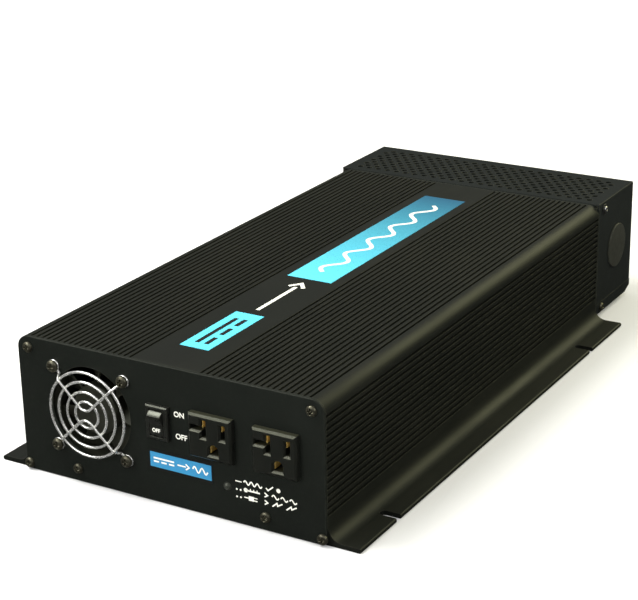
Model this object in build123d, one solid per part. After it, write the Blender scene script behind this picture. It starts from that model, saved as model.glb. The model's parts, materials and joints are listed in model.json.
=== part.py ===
from build123d import *
import math
import os

# Power inverter: finned extruded case with mounting flanges, front panel with fan, rocker switch
# and two outlets, rear panel with DC studs under a perforated wiring cover.
# Millimetres. X runs across the front (right positive), Y from front to back, Z up.
# The model is drawn with the front panel's face at y = 0 and then moved so that the origin is
# the middle of the bounding box's underside.

# ---- Driving dimensions ------------------------------------------------------------------------
CASE_WIDTH = 209.5
CASE_HEIGHT = 87.2
CASE_LENGTH = 386.0              # both end panels included
CORNER_RADIUS = 8.0
PANEL_THICKNESS = 2.0
PANEL_LIFT = 0.4                 # the end panels stop this far above the flange underside

FLANGE_REACH = 20.5
FLANGE_THICKNESS = 2.8
FLANGE_FILLET = 8.5
SLOT_PLACES = (46.0, 328.0)      # mounting slots, measured from the front face
SLOT_WIDTH = 5.5
SLOT_DEPTH = 12.2

FIN_PITCH = 3.93
GROOVE_WIDTH = 1.8
GROOVE_DEPTH = 2.5
TOP_GROOVES = 19                 # on each side of the smooth centre strip
FIRST_TOP_GROOVE = 24.36
SIDE_GROOVES = 16
FIRST_SIDE_GROOVE = 77.6
SIDE_WALL = 6.0                  # fins included
ROOF = 6.0
BASE_THICKNESS = 2.0
LEDGE_WIDTH = 6.0
LEDGE_HEIGHT = 4.0

COVER_DEPTH = 65.0
COVER_HEIGHT = 88.0
COVER_SHEET = 1.6
COVER_FOOT = 12.0                # where the cover ends and the tray's rim begins
TRAY_FOOT = 4.0
LAP_HEIGHT = 20.0
LAP_GAP = 0.15
HOLE_PITCH_X = 7.8
HOLE_PITCH_Y = 5.1
HOLE_RADIUS = 2.2
HOLE_MARGIN = 5.5
PLUG_PLACE = (420.0, 48.0)
PLUG_RADIUS = 16.2

FAN_PLACE = (-53.0, 47.5)
FAN_SIZE = 60.0
FAN_DEPTH = 25.0
FAN_SPACING = 50.0
FAN_BORE = 28.7
FAN_SCREW = 1.75                 # radius
ROTOR_RING = 14.0                # outer radius of the ring magnet inside the rotor's cup
SHAFT_RADIUS = 1.0
BEARING_RADIUS = 3.6
TUBE_START = 5.0                 # where the bearing tube begins, behind the fan's front
BLADES = 7
GUARD_WIRE = 0.8                 # wire radius
GUARD_RINGS = (8.2, 14.2, 20.4, 26.5)
GUARD_RING_Y = -4.2
GUARD_SPOKE_Y = -5.6

SWITCH_PLACE = (-4.6, 52.1)
SWITCH_BEZEL = (15.0, 21.0)
SWITCH_BODY = (12.8, 18.8)
SWITCH_PROUD = 3.0
SWITCH_DEPTH = 17.0
ROCKER_RADIUS = 8.2
ROCKER_WIDTH = 8.6
ROCKER_TRAVEL = 26.0             # degrees from OFF to ON
ROCKER_PIVOT_Y = 0.5
ROCKER_PIN = 1.1                 # radius

OUTLET_PLACES = {"left": 32.25, "right": 74.55}
OUTLET_Z = 51.0
OUTLET_FACE = (28.5, 26.8)
OUTLET_BODY = (25.0, 23.5)
OUTLET_PROUD = 4.4
OUTLET_DEPTH = 23.0
OUTLET_POCKET = 17.0             # how far the slots and contact pockets reach behind the panel
SLOT_SLOPE = 1.1                 # depth and width of the sloped edges round each slot
BLADE_SPACING = 12.7
BLADE_SHIFT = 2.3                # middle of the blade pair, from the middle of the face
BLADE_RISE = 4.9
BLADE_GAP = 2.8                  # slot width
HOT_HEIGHT = 8.6
NEUTRAL_HEIGHT = 10.5
ARM_LENGTH = 8.8                 # of the neutral slot's sideways arm
EARTH_DROP = 11.9                # below the blade line
EARTH_RADIUS = 3.0
EARTH_FLAT = 3.05                # from the earth hole's middle down to its flat
CONTACT_FRONT = -2.2
CONTACT_BACK = 15.0
CONTACT_LEAF = 0.6

LAMP_PLACE = (40.6, 22.1)
LAMP_RADIUS = 2.5
LAMP_PROUD = 1.9

PANEL_SCREWS = ((97.0, 80.3), (102.3, 4.2), (65.5, 8.6))
REAR_PANEL_SCREWS = (PANEL_SCREWS[0], PANEL_SCREWS[2])
SCREW_RADIUS = 1.5
SCREW_HEAD = 3.0
FRONT_SCREW_HEAD = 3.3
SCREW_HEAD_HEIGHT = 1.9
HOLE_CLEARANCE = 0.2
THREAD_CLEARANCE = 0.05

LABEL_FILM = 0.15
BOARD_SIZE = (176.0, 300.0)
BOARD_FRONT = 56.0
BOARD_Z = 10.0
BOARD_THICKNESS = 1.6
STUD_PLACES = (-62.0, -22.0)     # negative, positive
STUD_Z = 45.0
STUD_RADIUS = 4.0
BUSH_RADIUS = 8.1
BLOCK_PLACE = (30.0, 22.0)       # remote terminal block
BLOCK_WINDOW = (16.0, 6.0)
GROUND_PLACE = (-90.0, 28.0)     # grounding stud
GROUND_RADIUS = 3.0

FRONT_PROUD = GUARD_WIRE - GUARD_SPOKE_Y
REAR_PROUD = SCREW_HEAD_HEIGHT
OVERALL_LENGTH = FRONT_PROUD + CASE_LENGTH + COVER_DEPTH + REAR_PROUD
FRONT_Y = FRONT_PROUD - OVERALL_LENGTH / 2

# ---- Derived places ----------------------------------------------------------------------------
HALF_WIDTH = CASE_WIDTH / 2
INNER_HALF = HALF_WIDTH - SIDE_WALL
REAR_FACE = CASE_LENGTH          # rear panel's outer face
REAR_INNER = CASE_LENGTH - PANEL_THICKNESS
COVER_END = CASE_LENGTH + COVER_DEPTH
COVER_INNER = HALF_WIDTH - COVER_SHEET
BOARD_TOP = BOARD_Z + BOARD_THICKNESS
SIDES = (-1, 1)
TURN = {"X": Rot(0, 90, 0), "Y": Rot(-90, 0, 0), "Z": Rot(0, 0, 0)}


# ---- Helpers -----------------------------------------------------------------------------------
def block(x, y, z):
    """A box from a (low, high) pair on each axis."""
    spans = (x, y, z)
    centre = [(low + high) / 2 for low, high in spans]
    size = [high - low for low, high in spans]
    return Pos(*centre) * Box(*size)


def around(middle, width):
    """The (low, high) pair of a width about its middle."""
    return (middle - width / 2, middle + width / 2)


def bar(axis, start, radius, length):
    """A round bar that runs from start along +X, +Y or +Z."""
    shape = Cylinder(radius, length, align=(Align.CENTER, Align.CENTER, Align.MIN))
    return Pos(*start) * TURN[axis] * shape


def ring(axis, start, outer, inner, length):
    """A round tube or washer along an axis."""
    return bar(axis, start, outer, length) - bar(axis, start, inner, length)


def hexagon(start, across_flats, length):
    """A hexagonal bar along +Y."""
    outline = RegularPolygon(across_flats / math.sqrt(3), 6)
    return Pos(*start) * TURN["Y"] * extrude(outline, length)


def plate(outline, front, depth):
    """An outline drawn in X and Z, as a solid from y = front back by depth."""
    plane = Plane((0, front + depth, 0), x_dir=(1, 0, 0), z_dir=(0, -1, 0))
    return extrude(plane * outline, depth)


def save(name, *shapes):
    """Write one named piece, which may be a group of separate solids."""
    solids = [solid for shape in shapes for solid in shape.solids()]
    export_step(Pos(0, FRONT_Y, 0) * Compound(solids), f"parts/{name}.step")


def pan_screw(length, radius=SCREW_RADIUS, head=SCREW_HEAD, height=SCREW_HEAD_HEIGHT):
    """A cross recess pan head screw along +Z, with the underside of its head at zero."""
    cap = Pos(0, 0, -height) * Cylinder(head, height, align=(Align.CENTER, Align.CENTER, Align.MIN))
    cap = fillet(cap.edges().group_by(Axis.Z)[0], 0.75 * height)
    recess_depth = 0.6 * height
    arm = Pos(0, 0, recess_depth / 2 - height) * Box(0.32 * head, 1.15 * head, recess_depth)
    cap -= arm + Rot(0, 0, 90) * arm
    return cap + Cylinder(radius, length, align=(Align.CENTER, Align.CENTER, Align.MIN))


def nut(start, across_flats, bore, length):
    """A hexagonal nut along +Y."""
    return hexagon(start, across_flats, length) - bar("Y", start, bore, length)


def end_outline():
    """The outline that both end panels share."""
    height = CASE_HEIGHT - PANEL_LIFT
    outline = Pos(0, PANEL_LIFT + height / 2) * Rectangle(CASE_WIDTH, height)
    outline = fillet(outline.vertices().group_by(Axis.Y)[-1], CORNER_RADIUS)
    return fillet(outline.vertices().group_by(Axis.Y)[0], 3.0)


def both_sides(places):
    """Places on the right side, in X and Z, repeated on the left."""
    return [(side * x, z) for x, z in places for side in SIDES]


# ---- Case --------------------------------------------------------------------------------------
def case_outline():
    """The extrusion's section: fins, flanges, cavity, ledges and screw channels."""
    flange_width = CASE_WIDTH + 2 * FLANGE_REACH
    outline = Pos(0, CASE_HEIGHT / 2) * Rectangle(CASE_WIDTH, CASE_HEIGHT)
    outline += Pos(0, FLANGE_THICKNESS / 2) * Rectangle(flange_width, FLANGE_THICKNESS)
    outline = fillet(outline.vertices().group_by(Axis.Y)[-1], CORNER_RADIUS)
    roots = [
        v for v in outline.vertices()
        if abs(v.Y - FLANGE_THICKNESS) < 0.01 and abs(abs(v.X) - HALF_WIDTH) < 0.01
    ]
    outline = fillet(roots, FLANGE_FILLET)
    tips = [v for v in outline.vertices() if abs(abs(v.X) - flange_width / 2) < 0.01]
    outline = fillet(tips, 1.0)

    top_z = CASE_HEIGHT - GROOVE_DEPTH / 2
    side_x = HALF_WIDTH - GROOVE_DEPTH / 2
    grooves = [
        Pos(side * (FIRST_TOP_GROOVE + i * FIN_PITCH), top_z) * Rectangle(GROOVE_WIDTH, GROOVE_DEPTH)
        for i in range(TOP_GROOVES) for side in SIDES
    ]
    grooves += [
        Pos(side * side_x, FIRST_SIDE_GROOVE - i * FIN_PITCH) * Rectangle(GROOVE_DEPTH, GROOVE_WIDTH)
        for i in range(SIDE_GROOVES) for side in SIDES
    ]
    outline -= grooves

    inner_height = CASE_HEIGHT - ROOF
    cavity = Pos(0, inner_height / 2) * Rectangle(2 * INNER_HALF, inner_height)
    corner_x, corner_z = PANEL_SCREWS[0]
    ledge_z = BASE_THICKNESS + LEDGE_HEIGHT / 2
    for side in SIDES:
        cavity -= Pos(side * corner_x, corner_z) * Circle(4.2)
        cavity -= Pos(side * (INNER_HALF - LEDGE_WIDTH / 2), ledge_z) * Rectangle(LEDGE_WIDTH, LEDGE_HEIGHT)
    outline -= cavity
    channels = [
        Pos(side * x, z) * Circle(SCREW_RADIUS + THREAD_CLEARANCE)
        for x, z in PANEL_SCREWS[:2] for side in SIDES
    ]
    return outline - channels


def mounting_slot(side, place):
    """The space of one open mounting slot in a flange."""
    outer = HALF_WIDTH + FLANGE_REACH
    middle = outer - SLOT_DEPTH + SLOT_WIDTH / 2
    height = (-1.0, FLANGE_THICKNESS + 1.0)
    length = height[1] - height[0]
    mouth = block(sorted((side * middle, side * (outer + 1))), around(place, SLOT_WIDTH), height)
    return mouth + bar("Z", (side * middle, place, height[0]), SLOT_WIDTH / 2, length)


def base_screw_places():
    """Countersunk screws that hold the base plate to the ledges."""
    x = INNER_HALF - LEDGE_WIDTH / 2
    return [(side * x, y) for side in SIDES for y in (30.0, 138.0, 246.0, 356.0)]


def make_case():
    length = CASE_LENGTH - 2 * PANEL_THICKNESS
    case = plate(case_outline(), PANEL_THICKNESS, length)
    case -= [mounting_slot(side, place) for side in SIDES for place in SLOT_PLACES]
    pilot = SCREW_RADIUS + THREAD_CLEARANCE
    case -= [bar("Z", (x, y, 0), pilot, BASE_THICKNESS + LEDGE_HEIGHT) for x, y in base_screw_places()]
    save("finned_case", case)


def make_base():
    """Base plate with an upright tab behind each lower panel screw."""
    fit = 0.1
    span = (PANEL_THICKNESS + fit, REAR_INNER - fit)
    base = block((fit - INNER_HALF, INNER_HALF - fit), span, (0, BASE_THICKNESS))
    tab_x, tab_z = PANEL_SCREWS[2]
    for side in SIDES:
        for low, high in ((span[0], span[0] + 2), (span[1] - 2, span[1])):
            base += block(around(side * tab_x, 16), (low, high), (0, tab_z + 6))
            base -= bar("Y", (side * tab_x, low - 1, tab_z), SCREW_RADIUS + THREAD_CLEARANCE, 4)
    head = SCREW_HEAD + 0.1
    for x, y in base_screw_places():
        base -= bar("Z", (x, y, 0), SCREW_RADIUS + HOLE_CLEARANCE, BASE_THICKNESS)
        base -= Pos(x, y, 0.8) * Cone(head, SCREW_RADIUS, 1.6)
    for x, y in standoff_places():
        base -= bar("Z", (x, y, 0), SCREW_RADIUS + HOLE_CLEARANCE, BASE_THICKNESS)
    save("base_plate", base)

    screws = []
    for x, y in base_screw_places():
        head_cone = Pos(x, y, 0.8) * Cone(SCREW_HEAD, SCREW_RADIUS - 0.1, 1.6)
        slot = Pos(x, y, 0.5) * (Box(0.8, 3.2, 1.0) + Box(3.2, 0.8, 1.0))
        screws.append(head_cone + bar("Z", (x, y, 0), SCREW_RADIUS, 5.5) - slot)
    save("base_screws", *screws)


# ---- Front panel -------------------------------------------------------------------------------
def fan_corners():
    """The four screw places of the fan, in X and Z."""
    reach = FAN_SPACING / 2
    return [(FAN_PLACE[0] + i * reach, FAN_PLACE[1] + j * reach) for i in SIDES for j in SIDES]


def make_front_panel():
    outline = end_outline()
    cuts = [Pos(*FAN_PLACE) * Circle(FAN_BORE - 0.5)]
    cuts += [Pos(x, z) * Circle(FAN_SCREW + HOLE_CLEARANCE) for x, z in fan_corners()]
    cuts += [Pos(x, z) * Circle(SCREW_RADIUS + HOLE_CLEARANCE) for x, z in both_sides(PANEL_SCREWS)]
    cuts.append(Pos(*SWITCH_PLACE) * Rectangle(SWITCH_BODY[0] + 0.2, SWITCH_BODY[1] + 0.2))
    for x in OUTLET_PLACES.values():
        cuts.append(Pos(x, OUTLET_Z) * Rectangle(OUTLET_BODY[0] + 0.2, OUTLET_BODY[1] + 0.2))
    cuts.append(Pos(*LAMP_PLACE) * Circle(LAMP_RADIUS + 0.1))
    panel = plate(outline - cuts, 0, PANEL_THICKNESS)
    rim = panel.faces().sort_by(Axis.Y)[0].outer_wire().edges()
    save("front_panel", fillet(rim, 0.5))

    screw = pan_screw(10, head=FRONT_SCREW_HEAD)
    save("front_panel_screws", *[Pos(x, 0, z) * TURN["Y"] * screw for x, z in both_sides(PANEL_SCREWS)])


def make_labels():
    """Thin printed films: two on the smooth strip of the case and one on the front panel."""
    height = (CASE_HEIGHT, CASE_HEIGHT + LABEL_FILM)
    save("top_labels", block(around(0, 32), (160, 351), height), block(around(0, 20), (31, 91), height))
    save("front_label", block((-13, 31), (-LABEL_FILM, 0), (21, 34)))


def make_lamp():
    """Domed lamp with a flange that its holder keeps against the back of the panel."""
    x, z = LAMP_PLACE
    dome_y = LAMP_RADIUS - LAMP_PROUD
    flange_y = 4.0
    flange = 0.4
    lamp = Pos(x, dome_y, z) * Sphere(LAMP_RADIUS) + bar("Y", (x, dome_y, z), LAMP_RADIUS, 5.0)
    lamp += bar("Y", (x, flange_y, z), LAMP_RADIUS + flange, 1.0)
    save("status_lamp", lamp)
    outer = LAMP_RADIUS + 1.7
    holder = ring("Y", (x, PANEL_THICKNESS, z), outer, LAMP_RADIUS + flange + 0.1, 3.6)
    holder += ring("Y", (x, PANEL_THICKNESS, z), outer, LAMP_RADIUS + THREAD_CLEARANCE, 1.6)
    save("lamp_holder", holder)


# ---- Fan ---------------------------------------------------------------------------------------
def guard_spoke(rise):
    """One bent wire: from one screw eye in to its apex by the centre and out to the next eye."""
    x, z = FAN_PLACE
    reach = FAN_SPACING / 2
    near = reach - 1.9
    foot = reach - 3.9
    step = reach - 6.2
    wall = -GUARD_WIRE
    rise_in = [(-near, wall), (-foot, wall), (-step, GUARD_SPOKE_Y)]
    points = rise_in + [(0, GUARD_SPOKE_Y)] + [(-px, py) for px, py in reversed(rise_in)]
    apex = 0.9
    slope = (reach - apex) / reach
    path = [(x + px, py, z + rise * (apex + abs(px) * slope)) for px, py in points]
    route = FilletPolyline(*path, radius=[1.3, 2.4, 6.0, 2.4, 1.3])
    section = Plane(route @ 0, z_dir=route % 0) * Circle(GUARD_WIRE)
    return sweep(section, path=route)


def make_guard():
    x, z = FAN_PLACE
    guard = guard_spoke(1) + guard_spoke(-1)
    for radius in GUARD_RINGS:
        guard += Pos(x, GUARD_RING_Y, z) * TURN["Y"] * Torus(radius, GUARD_WIRE)
    for eye_x, eye_z in fan_corners():
        guard += Pos(eye_x, -GUARD_WIRE, eye_z) * TURN["Y"] * Torus(3.1, GUARD_WIRE)
    save("fan_guard", guard)

    back = PANEL_THICKNESS + FAN_DEPTH
    grip = 2 * GUARD_WIRE
    screw = pan_screw(back + grip + 5, FAN_SCREW, 3.75, 2.3)
    save("fan_screws", *[Pos(cx, -grip, cz) * TURN["Y"] * screw for cx, cz in fan_corners()])
    bore = FAN_SCREW + THREAD_CLEARANCE
    save("fan_nuts", *[nut((cx, back, cz), 6.0, bore, 2.6) for cx, cz in fan_corners()])


def make_fan_frame():
    """Square frame with a narrow waist, four arms, a hub plate and the tube that holds the bearings."""
    x, z = FAN_PLACE
    front = PANEL_THICKNESS
    back = front + FAN_DEPTH
    flange = 4.0
    screw_hole = 2.0
    square = Pos(x, z) * RectangleRounded(FAN_SIZE, FAN_SIZE, 4.0)
    holes = [Pos(cx, cz) * Circle(screw_hole) for cx, cz in fan_corners()]
    frame = plate(square - holes, front, FAN_DEPTH)
    waist = bar("Y", (x, front, z), FAN_BORE + 1.3, FAN_DEPTH)
    frame -= plate(square, front + flange, FAN_DEPTH - 2 * flange) - waist
    for cx, cz in fan_corners():
        frame += ring("Y", (cx, front, cz), screw_hole + 1.2, screw_hole, FAN_DEPTH)
    frame -= bar("Y", (x, front - 1, z), FAN_BORE, FAN_DEPTH + 2)
    hub_depth = 2.0
    hub_start = back - hub_depth
    arm = block((4, FAN_BORE + 0.5), (hub_start, back), around(0, 3.2))
    for i in range(4):
        frame += Pos(x, 0, z) * Rot(0, 45 + 90 * i, 0) * arm
    frame += bar("Y", (x, hub_start, z), ROTOR_RING, hub_depth)
    frame += bar("Y", (x, front + TUBE_START, z), BEARING_RADIUS + 1.0, FAN_DEPTH - TUBE_START)
    frame -= bar("Y", (x, front + TUBE_START - 1, z), BEARING_RADIUS, FAN_DEPTH - TUBE_START)
    save("fan_frame", frame)


def make_fan():
    """The fan's motor, and its rotor: a cup with twisted blades on the shaft, round the ring magnet."""
    make_fan_frame()
    x, z = FAN_PLACE
    front = PANEL_THICKNESS
    bearing_length = 2.6
    for_bearings = (front + TUBE_START + 0.2, front + FAN_DEPTH - 2.0 - bearing_length)
    bearing = (BEARING_RADIUS - THREAD_CLEARANCE, SHAFT_RADIUS + 0.03, bearing_length)
    save("fan_bearings", *[ring("Y", (x, y, z), *bearing) for y in for_bearings])
    save("fan_stator", ring("Y", (x, front + 8, z), 11.8, BEARING_RADIUS + 1.1, 9.0))
    save("fan_magnet", ring("Y", (x, front + 5, z), ROTOR_RING, 12.4, 15.0))

    cup_start = front + 1.6
    cup_wall = 1.5
    cup_roof = 1.8
    cup = bar("Y", (x, cup_start, z), ROTOR_RING + cup_wall, 19.0)
    cup -= bar("Y", (x, cup_start + cup_roof, z), ROTOR_RING + THREAD_CLEARANCE, 20.0)
    cup = fillet(cup.edges().group_by(Axis.Y)[0], 1.2)
    rotor = cup - bar("Y", (x, cup_start - 1, z), SHAFT_RADIUS, 6.0)
    reach = ring("Y", (0, 0, 0), FAN_BORE - 0.8, ROTOR_RING + 0.8, FAN_DEPTH)
    for i in range(BLADES):
        blade = Rot(0, 360 / BLADES * i, 0) * fan_blade() & reach
        rotor += Pos(x, front, z) * blade
    save("fan_rotor", rotor)
    save("fan_shaft", bar("Y", (x, cup_start, z), SHAFT_RADIUS, FAN_DEPTH - 4.4))


def fan_blade():
    """One twisted blade that reaches out along +X, behind y = 0: radius, pitch and chord at both ends."""
    stations = ((14.0, 50.0, 15.0), (29.5, 30.0, 20.0))
    middle = 11.0
    sections = []
    for radius, pitch, chord in stations:
        plane = Plane((radius, middle, 0), x_dir=(0, 1, 0), z_dir=(1, 0, 0))
        sections.append(plane * Rot(0, 0, 90 - pitch) * RectangleRounded(chord, 1.4, 0.6))
    return loft(sections)


# ---- Rocker switch -----------------------------------------------------------------------------
def rocker_outline():
    """The rocker's side outline at mid travel, about its pivot: U is up and V is out of the panel."""
    flush = math.degrees(math.asin((SWITCH_PROUD + ROCKER_PIVOT_Y) / ROCKER_RADIUS))
    tip = math.radians(flush + ROCKER_TRAVEL / 2)
    heel = math.radians(-22)
    radius = ROCKER_RADIUS
    valley = radius * math.sin(tip) - radius * math.cos(tip) * math.tan(math.radians(ROCKER_TRAVEL / 2))

    def on_arc(angle, side):
        return (side * radius * math.cos(angle), radius * math.sin(angle))

    middle = (tip + heel) / 2
    upper = ThreePointArc(on_arc(tip, 1), on_arc(middle, 1), on_arc(heel, 1))
    lower = ThreePointArc(on_arc(heel, -1), on_arc(middle, -1), on_arc(tip, -1))
    nose = (0, -5.2)
    back = Polyline(on_arc(heel, 1), nose, on_arc(heel, -1))
    face = Polyline(on_arc(tip, -1), (0, valley), on_arc(tip, 1))
    return make_face([upper, back, lower, face])


def make_switch():
    """Rocker switch: body with bezel, three rear tabs, and the rocker on its pins, at OFF."""
    x, z = SWITCH_PLACE
    opening = (ROCKER_WIDTH + 1.2, 2 * ROCKER_RADIUS + 0.6)
    bezel = block(around(x, SWITCH_BEZEL[0]), (-SWITCH_PROUD, 0), around(z, SWITCH_BEZEL[1]))
    bezel = chamfer(bezel.faces().sort_by(Axis.Y)[0].edges(), 0.7)
    body = bezel + block(around(x, SWITCH_BODY[0]), (0, SWITCH_DEPTH), around(z, SWITCH_BODY[1]))
    body -= block(around(x, opening[0]), (-SWITCH_PROUD - 1, 7.6), around(z, opening[1]))
    pin_hole = 12.6
    body -= bar("X", (x - pin_hole / 2, ROCKER_PIVOT_Y, z), ROCKER_PIN + 0.06, pin_hole)
    save("switch_body", body)
    tab = (SWITCH_DEPTH, SWITCH_DEPTH + 8)
    save("switch_terminals", *[block(around(x, 4.8), tab, around(z + dz, 0.8)) for dz in (-6, 0, 6)])

    # The outline's U is up and its V points out of the panel.
    plane = Plane((-ROCKER_WIDTH / 2, 0, 0), x_dir=(0, 0, 1), z_dir=(1, 0, 0))
    rocker = extrude(plane * rocker_outline(), ROCKER_WIDTH)
    pin_length = pin_hole - 0.4
    rocker += bar("X", (-pin_length / 2, 0, 0), ROCKER_PIN, pin_length)
    save("rocker", Pos(x, ROCKER_PIVOT_Y, z) * Rot(ROCKER_TRAVEL / 2, 0, 0) * rocker)


# ---- Outlets -----------------------------------------------------------------------------------
def slot_with_slopes(opening, wide):
    """The space of one slot: a straight opening whose edges slope out to a wide outline at the face."""
    front = -OUTLET_PROUD
    mouth = Plane((0, front, 0), x_dir=(1, 0, 0), z_dir=(0, -1, 0))
    floor = Plane((0, front + SLOT_SLOPE, 0), x_dir=(1, 0, 0), z_dir=(0, -1, 0))
    return plate(opening, front - 1, OUTLET_POCKET - front + 1) + loft([mouth * wide, floor * opening])


def straight_slot(x, z, width, height):
    opening = Pos(x, z) * Rectangle(width, height)
    return slot_with_slopes(opening, Pos(x, z) * Rectangle(width + 2 * SLOT_SLOPE, height + 2 * SLOT_SLOPE))


def earth_outline(x, z, radius, flat):
    """A half round top with straight sides down to a flat."""
    return Pos(x, z) * (Circle(radius) + Pos(0, -flat / 2) * Rectangle(2 * radius, flat))


def contact(x, z, gap, height):
    """A brass clip of two upright leaves round a blade or pin, with a rear tab."""
    outer = gap + 2 * CONTACT_LEAF
    clip = block(around(x, outer), (CONTACT_FRONT, CONTACT_BACK), around(z, height))
    clip -= block(around(x, gap), (CONTACT_FRONT - 1, CONTACT_BACK - CONTACT_LEAF), around(z, height + 1))
    return clip + block(around(x, CONTACT_LEAF), (CONTACT_BACK - 0.1, OUTLET_DEPTH + 7), around(z, 4.0))


def contact_pocket(x, z, gap, height):
    """The space behind the face round one contact, with the slit that its tab comes out of."""
    outer = gap + 2 * CONTACT_LEAF + 0.4
    pocket = block(around(x, outer), (CONTACT_FRONT - 0.4, OUTLET_POCKET), around(z, height + 0.4))
    slit = (OUTLET_POCKET - 1, OUTLET_DEPTH + 1)
    return pocket + block(around(x, CONTACT_LEAF + 0.3), slit, around(z, 4.3))


def make_outlet(side, centre_x):
    """A 20 A outlet: T slot, straight slot and earth hole, each with a brass contact behind it."""
    face = block(around(centre_x, OUTLET_FACE[0]), (-OUTLET_PROUD, 0), around(OUTLET_Z, OUTLET_FACE[1]))
    face = chamfer(face.faces().sort_by(Axis.Y)[0].edges(), 1.2)
    body = face + block(around(centre_x, OUTLET_BODY[0]), (0, OUTLET_DEPTH), around(OUTLET_Z, OUTLET_BODY[1]))

    middle = centre_x + BLADE_SHIFT
    blade_z = OUTLET_Z + BLADE_RISE
    neutral = middle - BLADE_SPACING / 2
    hot = middle + BLADE_SPACING / 2
    earth_z = blade_z - EARTH_DROP
    arm_x = neutral - ARM_LENGTH / 2

    body -= straight_slot(hot, blade_z, BLADE_GAP, HOT_HEIGHT)
    body -= straight_slot(neutral, blade_z, BLADE_GAP, NEUTRAL_HEIGHT)
    body -= straight_slot(arm_x, blade_z, ARM_LENGTH, BLADE_GAP)
    hole = earth_outline(middle, earth_z, EARTH_RADIUS, EARTH_FLAT)
    wide_hole = earth_outline(middle, earth_z, EARTH_RADIUS + SLOT_SLOPE, EARTH_FLAT + SLOT_SLOPE)
    body -= slot_with_slopes(hole, wide_hole)

    # The blade clips grip the upper half of each blade: X, Z, gap and height.
    clips = ((neutral, blade_z + 2.4, 1.7, 4.4), (hot, blade_z + 2.1, 1.7, 3.9), (middle, earth_z, 5.0, 4.6))
    for clip in clips:
        body -= contact_pocket(*clip)
    contacts = [contact(*clip) for clip in clips]
    # The neutral contact also has a level leaf along the top of its slot's arm.
    leaf_x = (neutral - ARM_LENGTH + 1.0, neutral - 1.0)
    leaf_z = (blade_z + 0.9, blade_z + 0.9 + CONTACT_LEAF)
    contacts[0] += block(leaf_x, (CONTACT_FRONT, CONTACT_BACK), leaf_z)
    pocket_x = (leaf_x[0] - 0.3, leaf_x[1])
    body -= block(pocket_x, (CONTACT_FRONT - 0.4, OUTLET_POCKET), (blade_z, leaf_z[1] + 0.3))
    save(f"outlet_{side}_body", body)
    save(f"outlet_{side}_contacts", *contacts)


# ---- Rear panel and DC terminals ---------------------------------------------------------------
def make_rear_panel():
    """Plate with exhaust slots, terminal holes and four lugs that the cover and tray screw to."""
    outline = end_outline()
    cuts = [Pos(x, z) * Circle(SCREW_RADIUS + HOLE_CLEARANCE) for x, z in both_sides(REAR_PANEL_SCREWS)]
    cuts += [Pos(x, STUD_Z) * Circle(BUSH_RADIUS + 0.1) for x in STUD_PLACES]
    cuts.append(Pos(*GROUND_PLACE) * Circle(GROUND_RADIUS + HOLE_CLEARANCE))
    cuts += [Pos(6.0 + 6.0 * i, 59.0) * Rot(0, 0, 90) * SlotOverall(34.0, 3.0) for i in range(15)]
    cuts.append(Pos(*BLOCK_PLACE) * Rectangle(*BLOCK_WINDOW))
    panel = plate(outline - cuts, REAR_INNER, PANEL_THICKNESS)
    lug = (REAR_FACE - 0.5, REAR_FACE + 16.0)
    lug_sheet = 1.5
    upper = COVER_INNER - LAP_GAP
    lower = upper - COVER_SHEET - LAP_GAP
    for side in SIDES:
        upper_x = sorted((side * (upper - lug_sheet), side * upper))
        lower_x = sorted((side * (lower - lug_sheet), side * lower))
        panel += block(upper_x, lug, (78.0, 85.5)) + block(lower_x, lug, (5.9, 14.0))
    for y, z in side_screw_places():
        panel -= bar("X", (-HALF_WIDTH, y, z), SCREW_RADIUS + THREAD_CLEARANCE, CASE_WIDTH)
    save("rear_panel", panel)

    flip = Rot(180, 0, 0)
    screws = [
        Pos(x, REAR_FACE, z) * flip * TURN["Y"] * pan_screw(10) for x, z in both_sides(REAR_PANEL_SCREWS)
    ]
    save("rear_panel_screws", *screws)


def side_screw_places():
    """The cover's and the tray's side screws, in Y and Z."""
    return ((394.7, 82.4), (394.7, 8.2))


def make_dc_terminals():
    """Two M8 studs in insulating bushes, each fed by an L-shaped bus bar from the board."""
    z = STUD_Z
    studs = []
    insulators = []
    washers = []
    nuts = []
    bus_bars = []
    bore = STUD_RADIUS + HOLE_CLEARANCE
    bar_sheet = 3.0
    flange = 4.0
    washer = 1.6
    bar_face = REAR_INNER - bar_sheet
    for x in STUD_PLACES:
        stud = hexagon((x, bar_face - bar_sheet - 5.5, z), 13.0, 5.5)
        stud += bar("Y", (x, bar_face - bar_sheet - 0.5, z), STUD_RADIUS, 42.0)
        studs.append(chamfer(stud.edges().group_by(Axis.Y)[-1], 0.8))
        bush = ring("Y", (x, REAR_FACE, z), 14.0, bore, flange)
        bush += ring("Y", (x, REAR_INNER, z), BUSH_RADIUS, bore, PANEL_THICKNESS + 1)
        insulators += [bush, ring("Y", (x, bar_face, z), 12.0, bore, bar_sheet)]
        washers.append(ring("Y", (x, REAR_FACE + flange, z), 9.0, bore, washer))
        nut_start = REAR_FACE + flange + washer
        nuts.append(nut((x, nut_start, z), 13.0, STUD_RADIUS + THREAD_CLEARANCE, 6.5))
        upright = block(around(x, 20), (bar_face - bar_sheet, bar_face), (BOARD_TOP, z + 11))
        foot = block(around(x, 20), (bar_face - 57, bar_face), (BOARD_TOP, BOARD_TOP + bar_sheet))
        bus_bars.append(upright + foot - bar("Y", (x, bar_face - bar_sheet - 1, z), bore, 5))
    save("dc_studs", *studs)
    save("bus_bars", *bus_bars)
    save("terminal_insulators", *insulators)
    save("terminal_washers", *washers)
    save("terminal_nuts", *nuts)


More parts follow.
